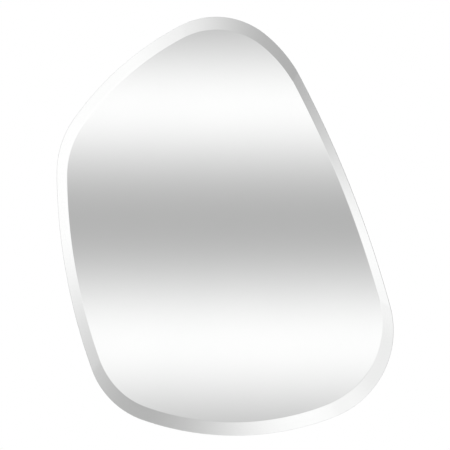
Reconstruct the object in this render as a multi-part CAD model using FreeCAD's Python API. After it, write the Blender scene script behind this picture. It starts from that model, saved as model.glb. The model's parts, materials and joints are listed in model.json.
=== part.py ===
import FreeCAD, Part
import math
import os

# Irregular, pebble-shaped frameless wall mirror: a bevelled and silvered glass pane, bonded to a
# smaller backing board that carries four folded strap hangers with swinging D-rings and four rubber
# bumpers. All lengths are millimetres and all angles are degrees.
#
# Frame: +X to the viewer's right, +Y towards the wall, +Z up. The mirror hangs upright and faces -Y.
# The origin lies in the wall plane, which the bumper faces touch, behind the middle of the pane.

# ---------------------------------------------------------------- driving dimensions: pane outline
# Five round corners joined by five bowed flanks. Each flank is an arc tangent to the two corners
# beside it, so ten arcs make the whole outline. Four corners are placed from a common datum. The
# fifth, the brow, is the short tighter bend where the right flank meets the crown, and it hangs on
# the crown's circle.
CROWN_X = -15.7
CROWN_Z = 236.0
CROWN_RADIUS = 138.8
SHOULDER_X = -133.5
SHOULDER_Z = 95.4
SHOULDER_RADIUS = 167.7
FOOT_LEFT_X = -98.9
FOOT_LEFT_Z = -207.2
FOOT_LEFT_RADIUS = 148.0
FOOT_RIGHT_X = 135.9
FOOT_RIGHT_Z = -187.0
FOOT_RIGHT_RADIUS = 165.7
BROW_RADIUS = 80.0
BROW_DIRECTION = 39.9555    # outward direction of the straight line that touches crown and brow
BROW_CHORD = 46.913         # between the two points where it touches them
UPPER_LEFT_FLANK_RADIUS = 541.0
LEFT_FLANK_RADIUS = 1063.0
BOTTOM_FLANK_RADIUS = 496.0
RIGHT_FLANK_RADIUS = 2040.0
BROW_FLANK_RADIUS = 253.5

# ---------------------------------------------------------------- driving dimensions: glass
GLASS_THICKNESS = 5.0
BEVEL_WIDTH = 23.7          # width of the ground bevel at the crown and the foot
BEVEL_FOCUS_X = -9.5        # the rim is drawn in towards this point to give the bevel's ridge
BEVEL_FOCUS_Z = 8.0
EDGE_THICKNESS = 2.0        # glass left at the rim, under the bevel
ARRIS = 0.7                 # small polished chamfer on both rim edges
SILVER_THICKNESS = 0.1
PAINT_THICKNESS = 0.1

# ---------------------------------------------------------------- driving dimensions: board and bond
BOARD_INSET = 36.0          # from the rim of the glass to the rim of the board
BOARD_THICKNESS = 9.0
BOARD_EDGE_CHAMFER = 1.5
BOND_THICKNESS = 1.5        # foam tape and mastic between the paint and the board
TAPE_WIDTH = 25.0
TAPE_SPACING = 130.0
TAPE_MIDDLE_X = -10.0
TAPE_MIDDLE_Z = -10.0
TAPE_MIDDLE_LENGTH = 560.0
TAPE_LEFT_Z = -10.0
TAPE_LEFT_LENGTH = 380.0
TAPE_RIGHT_Z = -75.0
TAPE_RIGHT_LENGTH = 290.0
MASTIC_DIAMETER = 38.0
MASTIC_SPACING = 125.0
MASTIC_COLUMN_Z = -25.0
MASTIC_ROWS = 4

# ---------------------------------------------------------------- driving dimensions: hangers
STRAP_THICKNESS = 1.0
STRAP_WIDTH = 11.0
STRAP_LENGTH = 20.0         # from the ring's bar to the round end of the strap
STRAP_FOLD_RADIUS = 1.5     # outside radius of the bend where the top layer meets the bottom layer
STRAP_HOLE_CLEARANCE = 0.3
RING_WIRE_DIAMETER = 3.0
RING_INNER_WIDTH = 16.0
RING_INNER_DEPTH = 13.5     # from the bar's axis to the inside of the bow
RING_CORNER_RADIUS = 3.0    # centre line of the wire, at the two ends of the bar
RING_RUNNING_CLEARANCE = 0.08
RING_REST_GAP = 0.05        # between the resting bow and the board
BOW_BEND_COUNT = 8          # small mitred bends that round the bow
CORNER_BEND_COUNT = 2
SCREW_OFFSET = 9.5          # from the ring's bar
SCREW_DIAMETER = 3.0
SCREW_LENGTH = 10.0
SCREW_HEAD_DIAMETER = 6.4
SCREW_HEAD_TOP_DIAMETER = 4.2
SCREW_HEAD_HEIGHT = 1.9
SCREW_HEAD_RIM = 0.8
SCREW_CLEARANCE = 0.05
PILOT_EXTRA_DEPTH = 0.3

# ---------------------------------------------------------------- driving dimensions: places
TOP_HANGER_Z = 190.0        # bars of the two rings that hang the mirror upright
TOP_HANGER_LEFT_X = -120.0
TOP_HANGER_RIGHT_X = 95.0
SIDE_HANGER_X = -205.0      # bars of the two rings that hang the mirror on its side
SIDE_HANGER_UPPER_Z = 90.0
SIDE_HANGER_LOWER_Z = -140.0
BUMPER_WIDTH = 20.0         # at the foot, on the board
BUMPER_FACE_WIDTH = 15.5    # on the wall
BUMPER_HEIGHT = 8.0
BUMPER_CORNER_CUT = 2.0     # clipped off both sides of each corner
BUMPER_MARGIN = 8.0         # from the board's rim to the nearest that a bumper's corner may come

# ---------------------------------------------------------------- levels, worked out from the above
QUARTER_TURN = 90.0
HALF_TURN = 180.0
FULL_TURN = 360.0
UP = QUARTER_TURN
DOWN = -QUARTER_TURN
RIGHT = 0.0
LEFT = HALF_TURN
BOARDWARD = -QUARTER_TURN   # in the strap's side view, where angles run from +Z towards +Y

WALL_Y = 0.0
BOARD_BACK_Y = WALL_Y - BUMPER_HEIGHT
BOARD_FRONT_Y = BOARD_BACK_Y - BOARD_THICKNESS
PAINT_BACK_Y = BOARD_FRONT_Y - BOND_THICKNESS
SILVER_BACK_Y = PAINT_BACK_Y - PAINT_THICKNESS
GLASS_BACK_Y = SILVER_BACK_Y - SILVER_THICKNESS
GLASS_FRONT_Y = GLASS_BACK_Y - GLASS_THICKNESS

RING_WIRE_RADIUS = RING_WIRE_DIAMETER / 2
LOOP_INNER_RADIUS = RING_WIRE_RADIUS + RING_RUNNING_CLEARANCE
LOOP_OUTER_RADIUS = LOOP_INNER_RADIUS + STRAP_THICKNESS
BAR_HEIGHT = LOOP_OUTER_RADIUS                      # the loop's underside lies on the board
STRAP_STACK = 2 * STRAP_THICKNESS
BOW_RADIUS = RING_INNER_WIDTH / 2 + RING_WIRE_RADIUS
BOW_REACH = RING_INNER_DEPTH + RING_WIRE_RADIUS     # from the bar's axis to the bow's centre line
SCREW_RADIUS = SCREW_DIAMETER / 2

# The resting ring leans on the board; swung right over, it lies on the strap instead.
REST_LEAN = math.degrees(math.asin((BAR_HEIGHT - RING_WIRE_RADIUS - RING_REST_GAP) / BOW_REACH))

# Foam tapes from left to right: node suffix -> (x, z of the middle, length).
TAPES = {
    "left": (TAPE_MIDDLE_X - TAPE_SPACING, TAPE_LEFT_Z, TAPE_LEFT_LENGTH),
    "middle": (TAPE_MIDDLE_X, TAPE_MIDDLE_Z, TAPE_MIDDLE_LENGTH),
    "right": (TAPE_MIDDLE_X + TAPE_SPACING, TAPE_RIGHT_Z, TAPE_RIGHT_LENGTH),
}

# Places of the hangers: node suffix -> (x, z, turn of the strap's direction away from +Z about +Y).
HANGERS = {
    "top_left": (TOP_HANGER_LEFT_X, TOP_HANGER_Z, 0.0),
    "top_right": (TOP_HANGER_RIGHT_X, TOP_HANGER_Z, 0.0),
    "side_upper": (SIDE_HANGER_X, SIDE_HANGER_UPPER_Z, -QUARTER_TURN),
    "side_lower": (SIDE_HANGER_X, SIDE_HANGER_LOWER_Z, -QUARTER_TURN),
}

X_AXIS = FreeCAD.Vector(1, 0, 0)
Y_AXIS = FreeCAD.Vector(0, 1, 0)
ORIGIN = FreeCAD.Vector(0, 0, 0)


# ---------------------------------------------------------------- outline
class Arc:
    """One arc of an outline in the XZ plane, running anticlockwise as the viewer sees it."""

    def __init__(self, x, z, radius, start, sweep):
        self.x = x
        self.z = z
        self.radius = radius
        self.start = start
        self.sweep = sweep

    def point(self, share, y):
        """Point at a share of the sweep, 0 at the start and 1 at the end, in the plane at y."""
        angle = math.radians(self.start + share * self.sweep)
        return FreeCAD.Vector(
            self.x + self.radius * math.cos(angle), y, self.z + self.radius * math.sin(angle)
        )

    def middle_angle(self):
        """Direction of the arc's middle point, seen from its centre."""
        return self.start + self.sweep / 2

    def faces(self, angle):
        """True when the arc's outward normal takes this direction somewhere along it."""
        return (angle - self.start) % FULL_TURN <= self.sweep

    def reach(self, angle):
        """How far the arc's circle reaches from the datum in a direction."""
        turn = math.radians(angle)
        return self.x * math.cos(turn) + self.z * math.sin(turn) + self.radius

    def moved(self, dx, dz):
        """The same arc, shifted."""
        return Arc(self.x + dx, self.z + dz, self.radius, self.start, self.sweep)

    def inset(self, distance):
        """The parallel arc, a distance nearer to its centre."""
        return Arc(self.x, self.z, self.radius - distance, self.start, self.sweep)

    def scaled(self, ratio):
        """The similar arc, drawn in towards the origin."""
        return Arc(self.x * ratio, self.z * ratio, self.radius * ratio, self.start, self.sweep)


def direction(from_point, to_point):
    """Angle of the line between two (x, z) points."""
    return math.degrees(math.atan2(to_point[1] - from_point[1], to_point[0] - from_point[0]))


def flank_centre(corner, next_corner, flank_radius):
    """Centre of the arc that touches both corner circles from outside the pane's middle.

    It stands one flank radius less one corner radius from each corner's centre, to the left of the
    anticlockwise way from one corner to the next, which is the side where the pane is.
    """
    ax, az, a_radius = corner
    bx, bz, b_radius = next_corner
    spacing = math.hypot(bx - ax, bz - az)
    to_a = flank_radius - a_radius
    to_b = flank_radius - b_radius
    along = (to_a ** 2 - to_b ** 2 + spacing ** 2) / (2 * spacing)
    across = math.sqrt(to_a ** 2 - along ** 2)
    ux = (bx - ax) / spacing
    uz = (bz - az) / spacing
    return (ax + along * ux - across * uz, az + along * uz + across * ux)


def brow_corner():
    """The brow's circle: a chord further along the straight line that touches the crown's circle."""
    turn = math.radians(BROW_DIRECTION)
    back = CROWN_RADIUS - BROW_RADIUS
    x = CROWN_X + back * math.cos(turn) + BROW_CHORD * math.sin(turn)
    z = CROWN_Z + back * math.sin(turn) - BROW_CHORD * math.cos(turn)
    return (x, z, BROW_RADIUS)


def pane_outline():
    """Ten tangent arcs, corner then flank in turn, centred on their own bounding box."""
    corners = [
        (CROWN_X, CROWN_Z, CROWN_RADIUS),
        (SHOULDER_X, SHOULDER_Z, SHOULDER_RADIUS),
        (FOOT_LEFT_X, FOOT_LEFT_Z, FOOT_LEFT_RADIUS),
        (FOOT_RIGHT_X, FOOT_RIGHT_Z, FOOT_RIGHT_RADIUS),
        brow_corner(),
    ]
    flank_radii = [
        UPPER_LEFT_FLANK_RADIUS, LEFT_FLANK_RADIUS, BOTTOM_FLANK_RADIUS, RIGHT_FLANK_RADIUS,
        BROW_FLANK_RADIUS,
    ]
    count = len(corners)
    flanks = [
        flank_centre(corners[i], corners[(i + 1) % count], flank_radii[i]) for i in range(count)
    ]
    arcs = []
    for i in range(count):
        corner = corners[i]
        next_corner = corners[(i + 1) % count]
        start = direction(flanks[i - 1], corner)
        joint = direction(flanks[i], corner)
        end = direction(flanks[i], next_corner)
        arcs.append(Arc(corner[0], corner[1], corner[2], start, (joint - start) % FULL_TURN))
        arcs.append(Arc(flanks[i][0], flanks[i][1], flank_radii[i], joint, (end - joint) % FULL_TURN))
    dx = (outline_reach(arcs, LEFT) - outline_reach(arcs, RIGHT)) / 2
    dz = (outline_reach(arcs, DOWN) - outline_reach(arcs, UP)) / 2
    return [arc.moved(dx, dz) for arc in arcs]


def outline_reach(arcs, angle):
    """How far the outline reaches from the datum in a direction."""
    return next(arc.reach(angle) for arc in arcs if arc.faces(angle))


def outline_wire(arcs, y):
    """Closed wire of the outline in the plane at y."""
    return Part.Wire([
        Part.Arc(arc.point(0.0, y), arc.point(0.5, y), arc.point(1.0, y)).toShape() for arc in arcs
    ])


def outline_plate(arcs, front_y, back_y):
    """Flat plate of the outline between two levels."""
    return Part.Face(outline_wire(arcs, front_y)).extrude(Y_AXIS * (back_y - front_y))


def inset_outline(arcs, distance):
    """Outline parallel to this one, a distance inside it."""
    return [arc.inset(distance) for arc in arcs]


# ---------------------------------------------------------------- pane
def mirror_glass(arcs):
    """Float glass with a ground bevel: its ridge is a reduced copy of the rim, so the bevel is
    widest where the rim lies furthest from the middle, at the crown and the foot.
    """
    half_height = outline_reach(arcs, UP)
    draw = BEVEL_WIDTH / half_height
    ridge = [arc.scaled(1 - draw).moved(draw * BEVEL_FOCUS_X, draw * BEVEL_FOCUS_Z) for arc in arcs]
    arris = inset_outline(arcs, ARRIS)
    sections = [
        outline_wire(arris, GLASS_BACK_Y),
        outline_wire(arcs, GLASS_BACK_Y - ARRIS),
        outline_wire(arcs, GLASS_BACK_Y - EDGE_THICKNESS + ARRIS),
        outline_wire(arris, GLASS_BACK_Y - EDGE_THICKNESS),
        outline_wire(ridge, GLASS_FRONT_Y),
    ]
    return Part.makeLoft(sections, True, True)


def silver_coating(arcs):
    """Silver on the flat back of the glass."""
    return outline_plate(inset_outline(arcs, ARRIS), GLASS_BACK_Y, SILVER_BACK_Y)


def back_paint(arcs):
    """Protective paint over the silver."""
    return outline_plate(inset_outline(arcs, ARRIS), SILVER_BACK_Y, PAINT_BACK_Y)


# ---------------------------------------------------------------- board and bond
def backing_board(arcs):
    """Board of the pane's outline set back from its rim, chamfered behind, with screw pilots."""
    rim = inset_outline(arcs, BOARD_INSET)
    board = Part.makeLoft([
        outline_wire(rim, BOARD_FRONT_Y),
        outline_wire(rim, BOARD_BACK_Y - BOARD_EDGE_CHAMFER),
        outline_wire(inset_outline(rim, BOARD_EDGE_CHAMFER), BOARD_BACK_Y),
    ], True, True)
    depth = SCREW_LENGTH - STRAP_STACK + PILOT_EXTRA_DEPTH
    pilots = [
        Part.makeCylinder(
            SCREW_RADIUS + SCREW_CLEARANCE, depth,
            FreeCAD.Vector(place.x, BOARD_BACK_Y - depth, place.z), Y_AXIS,
        )
        for place in screw_places()
    ]
    return board.cut(pilots)


def foam_tape(x, middle_z, length):
    """One upright strip of double-sided foam tape."""
    corner = FreeCAD.Vector(x - TAPE_WIDTH / 2, PAINT_BACK_Y, middle_z - length / 2)
    return Part.makeBox(TAPE_WIDTH, BOND_THICKNESS, length, corner)


def mastic_dabs():
    """Two columns of squashed mastic dabs, midway between the tapes."""
    dabs = []
    for side in (-0.5, 0.5):
        x = TAPE_MIDDLE_X + side * TAPE_SPACING
        for row in range(MASTIC_ROWS):
            z = MASTIC_COLUMN_Z + (row - (MASTIC_ROWS - 1) / 2) * MASTIC_SPACING
            centre = FreeCAD.Vector(x, PAINT_BACK_Y, z)
            dabs.append(Part.makeCylinder(MASTIC_DIAMETER / 2, BOND_THICKNESS, centre, Y_AXIS))
    return Part.makeCompound(dabs)


# ---------------------------------------------------------------- bumpers
def bumper(arc):
    """Square tapered rubber bumper on the board, inside the corner that this arc rounds."""
    foot = BUMPER_WIDTH / 2
    face = BUMPER_FACE_WIDTH / 2
    body = Part.makeWedge(
        -foot, BOARD_BACK_Y, -foot, -face, -face, foot, WALL_Y, foot, face, face
    )
    slopes = [edge for edge in body.Edges if edge.BoundBox.YLength > BUMPER_HEIGHT / 2]
    body = body.makeChamfer(BUMPER_CORNER_CUT, slopes)
    body.translate(bumper_centre(arc))
    return body


def bumper_centre(arc):
    """Place of a bumper: out from the corner's centre, as far as the board and the margin allow."""
    half_diagonal = math.hypot(BUMPER_WIDTH / 2, BUMPER_WIDTH / 2)
    out = arc.radius - BOARD_INSET - BUMPER_MARGIN - half_diagonal
    turn = math.radians(arc.middle_angle())
    return FreeCAD.Vector(arc.x + out * math.cos(turn), 0, arc.z + out * math.sin(turn))


# ---------------------------------------------------------------- screws
def turned(profile):
    """Solid turned about the Y axis through the origin.

    The profile runs from the axis back to the axis as (radius, y) pairs joined by straight lines.
    """
    points = [FreeCAD.Vector(radius, y, 0) for radius, y in profile]
    half = Part.Face(Part.makePolygon(points + points[:1]))
    return half.revolve(ORIGIN, Y_AXIS, FULL_TURN)


def pan_head_screw():
    """Blunt-ended tapping screw along -Y, its head's underside at the origin."""
    head = SCREW_HEAD_DIAMETER / 2
    return turned([
        (0, SCREW_HEAD_HEIGHT),
        (SCREW_HEAD_TOP_DIAMETER / 2, SCREW_HEAD_HEIGHT),
        (head, SCREW_HEAD_RIM),
        (head, 0),
        (SCREW_RADIUS, 0),
        (SCREW_RADIUS, -SCREW_LENGTH),
        (0, -SCREW_LENGTH),
    ])


# ---------------------------------------------------------------- hangers
# A hanger is made in its own frame: the ring's bar lies along X through the origin's height, the
# strap runs down -Z on the board's back, Y = 0, and the ring points up +Z.
def side_spot(z, y):
    """Point of the strap's side view."""
    return FreeCAD.Vector(0, y, z)


def circle_spot(centre, radius, angle):
    """Point of a circle in the strap's side view, at an angle from +Z towards +Y."""
    turn = math.radians(angle)
    return centre + side_spot(radius * math.cos(turn), radius * math.sin(turn))


def loop_outline(loop_radius, bend_radius, flat_y):
    """The strap's loop and return bend, from the board side round to where the strap is flat.

    The loop turns about the ring's bar from its board side; the return bend turns the other way,
    tangent to the loop and to the level flat_y.
    """
    bar = side_spot(0, BAR_HEIGHT)
    bend_y = STRAP_STACK + STRAP_FOLD_RADIUS
    centres = LOOP_OUTER_RADIUS + STRAP_FOLD_RADIUS
    back = math.sqrt(centres ** 2 - (bend_y - BAR_HEIGHT) ** 2)
    bend = side_spot(-back, bend_y)
    joint = math.degrees(math.atan2(bend_y - BAR_HEIGHT, -back))
    loop = Part.Arc(
        circle_spot(bar, loop_radius, BOARDWARD),
        circle_spot(bar, loop_radius, (BOARDWARD + joint) / 2),
        circle_spot(bar, loop_radius, joint),
    )
    turn_back = Part.Arc(
        circle_spot(bend, bend_radius, joint - HALF_TURN),
        circle_spot(bend, bend_radius, (joint - HALF_TURN + BOARDWARD) / 2),
        circle_spot(bend, bend_radius, BOARDWARD),
    )
    return [loop, turn_back], side_spot(-back, flat_y)


def hanger_strap():
    """Steel strip folded round the ring's bar, both layers lying flat together and screwed down."""
    outer, outer_flat = loop_outline(LOOP_OUTER_RADIUS, STRAP_FOLD_RADIUS, STRAP_STACK)
    inner, inner_flat = loop_outline(
        LOOP_INNER_RADIUS, STRAP_FOLD_RADIUS + STRAP_THICKNESS, STRAP_THICKNESS
    )
    end = -STRAP_LENGTH
    outside = Part.Wire([
        curve.toShape() for curve in outer + [
            Part.LineSegment(outer_flat, side_spot(end, STRAP_STACK)),
            Part.LineSegment(side_spot(end, STRAP_STACK), side_spot(end, 0)),
            Part.LineSegment(side_spot(end, 0), side_spot(0, 0)),
        ]
    ])
    eye = Part.Wire([
        curve.toShape() for curve in inner + [
            Part.LineSegment(inner_flat, side_spot(0, STRAP_THICKNESS)),
        ]
    ])
    half_width = STRAP_WIDTH / 2
    band = Part.Face(outside).cut(Part.Face(eye)).extrude(X_AXIS * STRAP_WIDTH)
    band.translate(X_AXIS * -half_width)
    tail = Part.makeCylinder(
        half_width, STRAP_STACK, FreeCAD.Vector(0, 0, end + half_width), Y_AXIS
    )
    length_to_tail = STRAP_LENGTH - half_width + LOOP_OUTER_RADIUS
    height = BAR_HEIGHT + LOOP_OUTER_RADIUS
    run = Part.makeBox(
        STRAP_WIDTH, height, length_to_tail, FreeCAD.Vector(-half_width, 0, end + half_width)
    )
    strap = band.common(tail.fuse(run))
    hole = Part.makeCylinder(
        SCREW_RADIUS + STRAP_HOLE_CLEARANCE, STRAP_STACK, side_spot(-SCREW_OFFSET, 0), Y_AXIS
    )
    return strap.cut(hole).removeSplitter()


def bends(centre_x, centre_z, radius, start, sweep, count):
    """Corners of a wire that rounds an arc in a number of equal mitred bends.

    The straight stretches between the bends touch the arc at their middles.
    """
    step = math.radians(sweep / count)
    out = radius / math.cos(step / 2)
    turns = [math.radians(start) + (k + 0.5) * step for k in range(count)]
    return [
        FreeCAD.Vector(centre_x + out * math.cos(turn), 0, centre_z + out * math.sin(turn))
        for turn in turns
    ]


def d_ring():
    """Bent wire D: a straight bar, two short legs and a half-round bow, leaning on the board."""
    corner = RING_CORNER_RADIUS
    half_bar = BOW_RADIUS - corner
    path = Part.makePolygon(
        [ORIGIN]
        + bends(half_bar, corner, corner, DOWN, QUARTER_TURN, CORNER_BEND_COUNT)
        + bends(0, BOW_REACH - BOW_RADIUS, BOW_RADIUS, RIGHT, HALF_TURN, BOW_BEND_COUNT)
        + bends(-half_bar, corner, corner, LEFT, QUARTER_TURN, CORNER_BEND_COUNT)
        + [ORIGIN]
    )
    section = Part.Wire([Part.Circle(ORIGIN, X_AXIS, RING_WIRE_RADIUS).toShape()])
    mitred = 1
    ring = path.makePipeShell([section], True, False, mitred).removeSplitter()
    ring.rotate(ORIGIN, X_AXIS, REST_LEAN)
    ring.translate(FreeCAD.Vector(0, BAR_HEIGHT, 0))
    return ring


def hanger_placement(name):
    """Where a hanger's own frame stands on the board."""
    x, z, turn = HANGERS[name]
    return FreeCAD.Placement(
        FreeCAD.Vector(x, BOARD_BACK_Y, z), FreeCAD.Rotation(Y_AXIS, turn)
    )


def on_board(shape, name):
    """A hanger's piece, set down at its place."""
    placed = shape.copy()
    placed.Placement = hanger_placement(name).multiply(placed.Placement)
    return placed


def screw_places():
    """Points where the screw axes meet the board's back."""
    return [hanger_placement(name).multVec(side_spot(-SCREW_OFFSET, 0)) for name in HANGERS]


def strap_screws():
    """All strap screws, their heads seated on the straps."""
    screw = pan_head_screw()
    screws = []
    for place in screw_places():
        placed = screw.copy()
        placed.translate(FreeCAD.Vector(place.x, BOARD_BACK_Y + STRAP_STACK, place.z))
        screws.append(placed)
    return Part.makeCompound(screws)


# ---------------------------------------------------------------- assembly
def build():
    """Every piece of the mirror by node name."""
    arcs = pane_outline()
    corner_arcs = arcs[0::2]
    parts = {
        "mirror_glass": mirror_glass(arcs),
        "silver_coating": silver_coating(arcs),
        "back_paint": back_paint(arcs),
        "mastic_dabs": mastic_dabs(),
        "backing_board": backing_board(arcs),
        "strap_screws": strap_screws(),
    }
    for name, (x, middle_z, length) in TAPES.items():
        parts["foam_tape_" + name] = foam_tape(x, middle_z, length)
    for name, arc in zip(("crown", "shoulder", "foot_left", "foot_right"), corner_arcs):
        parts["bumper_" + name] = bumper(arc)
    strap = hanger_strap()
    ring = d_ring()
    for name in HANGERS:
        parts["hanger_strap_" + name] = on_board(strap, name)
        parts["d_ring_" + name] = on_board(ring, name)
    return parts


def main():
    """Write one file per node and print each node's volume and box."""
    os.makedirs("parts", exist_ok=True)
    for name, shape in build().items():
        shape.exportStep("parts/" + name + ".step")
        box = shape.BoundBox
        print(
            "%-24s solids %2d valid %s volume %11.1f  x %7.2f %7.2f  y %6.2f %6.2f  z %7.2f %7.2f"
            % (
                name, len(shape.Solids), shape.isValid(), shape.Volume,
                box.XMin, box.XMax, box.YMin, box.YMax, box.ZMin, box.ZMax,
            )
        )


main()
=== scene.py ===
"""Dresses the irregular, bevelled wall mirror: finer meshes, finishes, a plain studio and the camera.

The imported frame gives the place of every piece. Lengths are metres in the part's own frame: +X to the
viewer's right, +Y towards the wall, +Z up. The mirror faces -Y and its wall plane is at Y = 0.
"""
import json
import logging
import math
from collections.abc import Callable, Iterable, Sequence
from dataclasses import dataclass
from enum import Enum

import bmesh
import bpy
from bmesh.types import BMEdge, BMFace, BMVert
from bpy.types import Material, Node, NodeOutputs, NodeSocket, NodeTree, Object
from mathutils import Matrix, Vector

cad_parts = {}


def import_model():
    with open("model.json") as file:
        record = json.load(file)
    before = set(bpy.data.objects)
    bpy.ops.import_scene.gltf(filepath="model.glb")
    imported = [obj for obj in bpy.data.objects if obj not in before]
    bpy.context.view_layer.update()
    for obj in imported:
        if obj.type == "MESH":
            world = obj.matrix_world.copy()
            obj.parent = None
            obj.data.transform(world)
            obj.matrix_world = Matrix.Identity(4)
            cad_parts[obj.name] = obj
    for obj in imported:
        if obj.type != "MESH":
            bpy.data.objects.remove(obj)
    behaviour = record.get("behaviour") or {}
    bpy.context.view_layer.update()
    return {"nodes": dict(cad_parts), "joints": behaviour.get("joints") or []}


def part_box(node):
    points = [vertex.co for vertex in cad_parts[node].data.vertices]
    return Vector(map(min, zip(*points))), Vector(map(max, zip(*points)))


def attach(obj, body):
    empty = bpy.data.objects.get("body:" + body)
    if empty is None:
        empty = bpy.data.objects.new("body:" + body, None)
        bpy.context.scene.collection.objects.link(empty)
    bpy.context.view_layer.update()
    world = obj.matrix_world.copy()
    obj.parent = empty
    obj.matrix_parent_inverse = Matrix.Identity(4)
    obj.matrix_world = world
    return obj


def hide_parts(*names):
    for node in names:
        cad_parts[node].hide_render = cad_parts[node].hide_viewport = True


LOG = logging.getLogger("mirror")
ORIGIN = Vector((0.0, 0.0, 0.0))
RIGHTWARD = Vector((1.0, 0.0, 0.0))
WALLWARD = Vector((0.0, 1.0, 0.0))
UPWARD = Vector((0.0, 0.0, 1.0))
QUARTER_TURN = math.pi / 2
HALF_TURN = math.pi
FULL_TURN = 2 * math.pi
MERGE_DISTANCE = 1e-6
FLAT_ANGLE = math.radians(0.5)
SOFT_CREASE = math.radians(32.0)
DISPLAY_GAMMA = 2.2
GLASS_REFRACTION = 1.52
ROOT_BODY = "mirror"


# ---- outline of the pane
@dataclass(frozen=True)
class Arc:
    """One arc of an outline in the XZ plane, running anticlockwise as the viewer sees it."""

    x: float
    z: float
    radius: float
    start: float
    sweep: float

    def point(self, share: float, y: float) -> Vector:
        """Gives a point of the arc.

        Args:
            share: Share of the sweep, 0 at the start and 1 at the end.
            y: Plane of the outline.

        Returns:
            The point.
        """
        turn = self.start + share * self.sweep
        return Vector((self.x + self.radius * math.cos(turn), y, self.z + self.radius * math.sin(turn)))

    def reach(self, turn: float) -> float:
        """How far the arc's circle reaches from the datum in a direction."""
        return self.x * math.cos(turn) + self.z * math.sin(turn) + self.radius

    def faces(self, turn: float) -> bool:
        """True when the arc's outward normal takes this direction somewhere along it."""
        return (turn - self.start) % FULL_TURN <= self.sweep

    def moved(self, x: float, z: float, inset: float = 0.0) -> "Arc":
        """Gives the arc shifted by x and z, and set in by an inset towards its centre."""
        return Arc(self.x + x, self.z + z, self.radius - inset, self.start, self.sweep)


@dataclass(frozen=True)
class Corner:
    """Round corner of the pane: centre and radius, from a common datum."""

    x: float
    z: float
    radius: float


@dataclass(frozen=True)
class PaneOutline:
    """Pebble outline: five round corners joined by five bowed flanks, all tangent arcs."""

    crown: Corner = Corner(-0.0157, 0.2360, 0.1388)
    shoulder: Corner = Corner(-0.1335, 0.0954, 0.1677)
    foot_left: Corner = Corner(-0.0989, -0.2072, 0.1480)
    foot_right: Corner = Corner(0.1359, -0.1870, 0.1657)
    brow: Corner = Corner(0.0595, 0.2378, 0.0800)
    upper_left_flank: float = 0.541
    left_flank: float = 1.063
    bottom_flank: float = 0.496
    right_flank: float = 2.040
    brow_flank: float = 0.2535

    @staticmethod
    def flank_centre(corner: Corner, following: Corner, radius: float) -> tuple[float, float]:
        """Finds the centre of the arc that is tangent to two corners.

        Args:
            corner: The corner that the flank leaves.
            following: The corner that the flank arrives at.
            radius: Radius of the flank.

        Returns:
            Its x and z.
        """
        spacing = math.hypot(following.x - corner.x, following.z - corner.z)
        to_corner = radius - corner.radius
        to_following = radius - following.radius
        along = (to_corner**2 - to_following**2 + spacing**2) / (2 * spacing)
        across = math.sqrt(to_corner**2 - along**2)
        ux = (following.x - corner.x) / spacing
        uz = (following.z - corner.z) / spacing
        return corner.x + along * ux - across * uz, corner.z + along * uz + across * ux

    def arcs(self, inset: float = 0.0) -> list[Arc]:
        """Gives the outline, centred on its own bounding box.

        Args:
            inset: Distance that the outline is set in from the rim of the pane.

        Returns:
            Ten arcs, corner then flank in turn.
        """
        corners = [self.crown, self.shoulder, self.foot_left, self.foot_right, self.brow]
        radii = [
            self.upper_left_flank, self.left_flank, self.bottom_flank, self.right_flank, self.brow_flank
        ]
        count = len(corners)
        centres = [self.flank_centre(corners[i], corners[(i + 1) % count], radii[i]) for i in range(count)]
        arcs = []
        for i, corner in enumerate(corners):
            following = corners[(i + 1) % count]
            cx, cz = centres[i]
            start = math.atan2(corner.z - centres[i - 1][1], corner.x - centres[i - 1][0])
            joint = math.atan2(corner.z - cz, corner.x - cx)
            end = math.atan2(following.z - cz, following.x - cx)
            arcs.append(Arc(corner.x, corner.z, corner.radius, start, (joint - start) % FULL_TURN))
            arcs.append(Arc(cx, cz, radii[i], joint, (end - joint) % FULL_TURN))
        right, up, left, down = [
            next(arc.reach(turn) for arc in arcs if arc.faces(turn))
            for turn in (0.0, QUARTER_TURN, HALF_TURN, -QUARTER_TURN)
        ]
        return [arc.moved((left - right) / 2, (down - up) / 2, inset) for arc in arcs]


# ---- meshes
def of_kind(items: Iterable[object], kind: type) -> list:
    """The items of one kind, such as the vertices among new geometry."""
    return [item for item in items if isinstance(item, kind)]


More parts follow.
